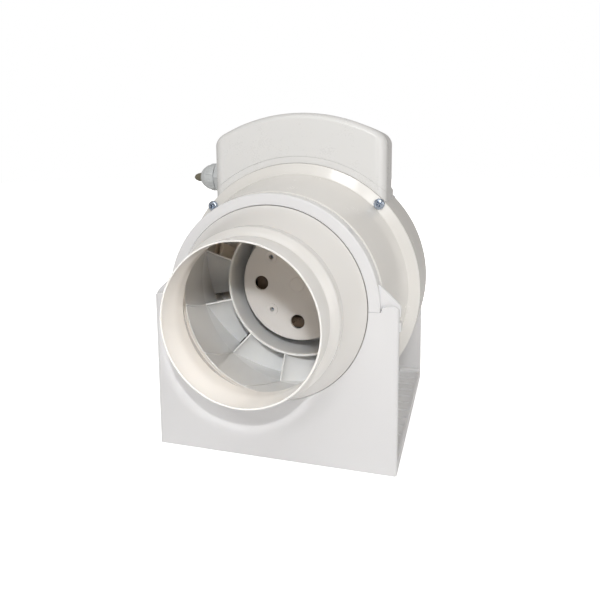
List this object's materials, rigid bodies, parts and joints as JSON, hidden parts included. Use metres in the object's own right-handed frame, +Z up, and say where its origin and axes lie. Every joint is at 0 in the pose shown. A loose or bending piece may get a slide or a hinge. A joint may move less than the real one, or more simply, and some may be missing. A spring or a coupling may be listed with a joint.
{
  "type": "in-line duct fan",
  "caption": "In-line extractor fan for round duct: drum body with guide vanes and mixed-flow impeller, terminal box on top, held by straps in a plate cradle.",
  "frame": {"origin": "centre of the cradle's underside, on the fixing surface", "axes": "+Z up from the fixing surface, fan axis along Y with the outlet spigot towards -Y and the inlet towards +Y, X across"},
  "size_m": [0.1825, 0.2906, 0.2334],
  "materials": {
    "cradle_plastic": "moulded white ABS, soft gloss",
    "shell_plastic": "moulded warm white ABS, soft gloss",
    "spigot_plastic": "moulded white ABS, gloss",
    "box_plastic": "moulded white ABS, fine satin gloss",
    "vane_plastic": "moulded light grey-white ABS, gloss",
    "motor_cover_plastic": "moulded light grey plastic",
    "impeller_plastic": "moulded grey glass-filled plastic",
    "seal_rubber": "soft black rubber",
    "plug_rubber": "grey-brown rubber",
    "black_rubber": "black rubber",
    "gland_nylon": "light grey nylon",
    "motor_metal": "zinc plated pressed steel",
    "lamination_steel": "stacked electrical steel, varnished",
    "rotor_aluminium": "cast aluminium cage",
    "winding_copper": "enamelled copper wire",
    "shaft_steel": "ground steel",
    "bearing_steel": "polished bearing steel",
    "bush_brass": "turned brass",
    "zinc_steel": "bright zinc plate",
    "terminal_brass": "brass terminal screws",
    "block_plastic": "natural nylon",
    "capacitor_plastic": "light grey case",
    "clip_plastic": "dark nylon",
    "lead_pvc": "grey sheath"
  },
  "bodies": {
    "fan_body": {"box_base_screws": "zinc_steel", "capacitor_clip": "clip_plastic", "drum_housing": "shell_plastic", "gland_body": "gland_nylon", "gland_locknut": "gland_nylon", "gland_plug": "plug_rubber", "gland_seal": "plug_rubber", "guide_vane_unit": "vane_plastic", "inlet_bearing_outer": "bearing_steel", "inlet_bellmouth": "vane_plastic", "inlet_case_screws": "zinc_steel", "inlet_shell": "shell_plastic", "inlet_spigot": "spigot_plastic", "inlet_spigot_seal": "seal_rubber", "lead_grommet": "black_rubber", "motor_case": "motor_metal", "motor_cover_screws": "zinc_steel", "motor_end_cover": "motor_cover_plastic", "motor_fixing_screws": "zinc_steel", "motor_lead": "lead_pvc", "mounting_cradle": "cradle_plastic", "outlet_bearing_outer": "bearing_steel", "outlet_case_screws": "zinc_steel", "outlet_shell": "shell_plastic", "outlet_spigot": "spigot_plastic", "outlet_spigot_seal": "seal_rubber", "run_capacitor": "capacitor_plastic", "stator_stack": "lamination_steel", "stator_windings": "winding_copper", "terminal_block": "block_plastic", "terminal_box_base": "box_plastic", "terminal_screws": "terminal_brass"},
    "rotor": {"motor_shaft": "shaft_steel", "motor_rotor": "rotor_aluminium", "outlet_bearing_inner": "bearing_steel", "inlet_bearing_inner": "bearing_steel", "impeller": "impeller_plastic", "impeller_bush": "bush_brass", "impeller_nut": "zinc_steel", "impeller_washer": "zinc_steel"},
    "outlet_ball_set": {"outlet_bearing_balls": "bearing_steel"},
    "inlet_ball_set": {"inlet_bearing_balls": "bearing_steel"},
    "box_cover": {"terminal_box_cover": "box_plastic", "cover_screws": "zinc_steel"},
    "outlet_strap": {"outlet_strap": "cradle_plastic"},
    "inlet_strap": {"inlet_strap": "cradle_plastic"},
    "gland_cap": {"gland_cap": "gland_nylon"}
  },
  "joints": [
    {"name": "rotor_spin", "type": "hinge", "parent": "fan_body", "child": "rotor", "pos_m": [0, 0, 0.106], "axis": [0, 1, 0], "continuous": true},
    {"name": "outlet_ball_set_spin", "type": "hinge", "parent": "fan_body", "child": "outlet_ball_set", "pos_m": [0, -0.02, 0.106], "axis": [0, 1, 0], "continuous": true},
    {"name": "inlet_ball_set_spin", "type": "hinge", "parent": "fan_body", "child": "inlet_ball_set", "pos_m": [0, 0.008, 0.106], "axis": [0, 1, 0], "continuous": true},
    {"name": "box_cover_lift", "type": "slide", "parent": "fan_body", "child": "box_cover", "axis": [0, 0, 1], "range_m": [0, 0.07]},
    {"name": "outlet_strap_lift", "type": "slide", "parent": "fan_body", "child": "outlet_strap", "axis": [0, 0, 1], "range_m": [0, 0.09]},
    {"name": "inlet_strap_lift", "type": "slide", "parent": "fan_body", "child": "inlet_strap", "axis": [0, 0, 1], "range_m": [0, 0.09]},
    {"name": "gland_cap_turn", "type": "hinge", "parent": "fan_body", "child": "gland_cap", "pos_m": [-0.08, -0.008, 0.1868], "axis": [-1, 0, 0], "continuous": true}
  ],
  "couplings": [
    {"joint": "outlet_ball_set_spin", "follows": "rotor_spin", "ratio": 0.375},
    {"joint": "inlet_ball_set_spin", "follows": "rotor_spin", "ratio": 0.375}
  ]
}
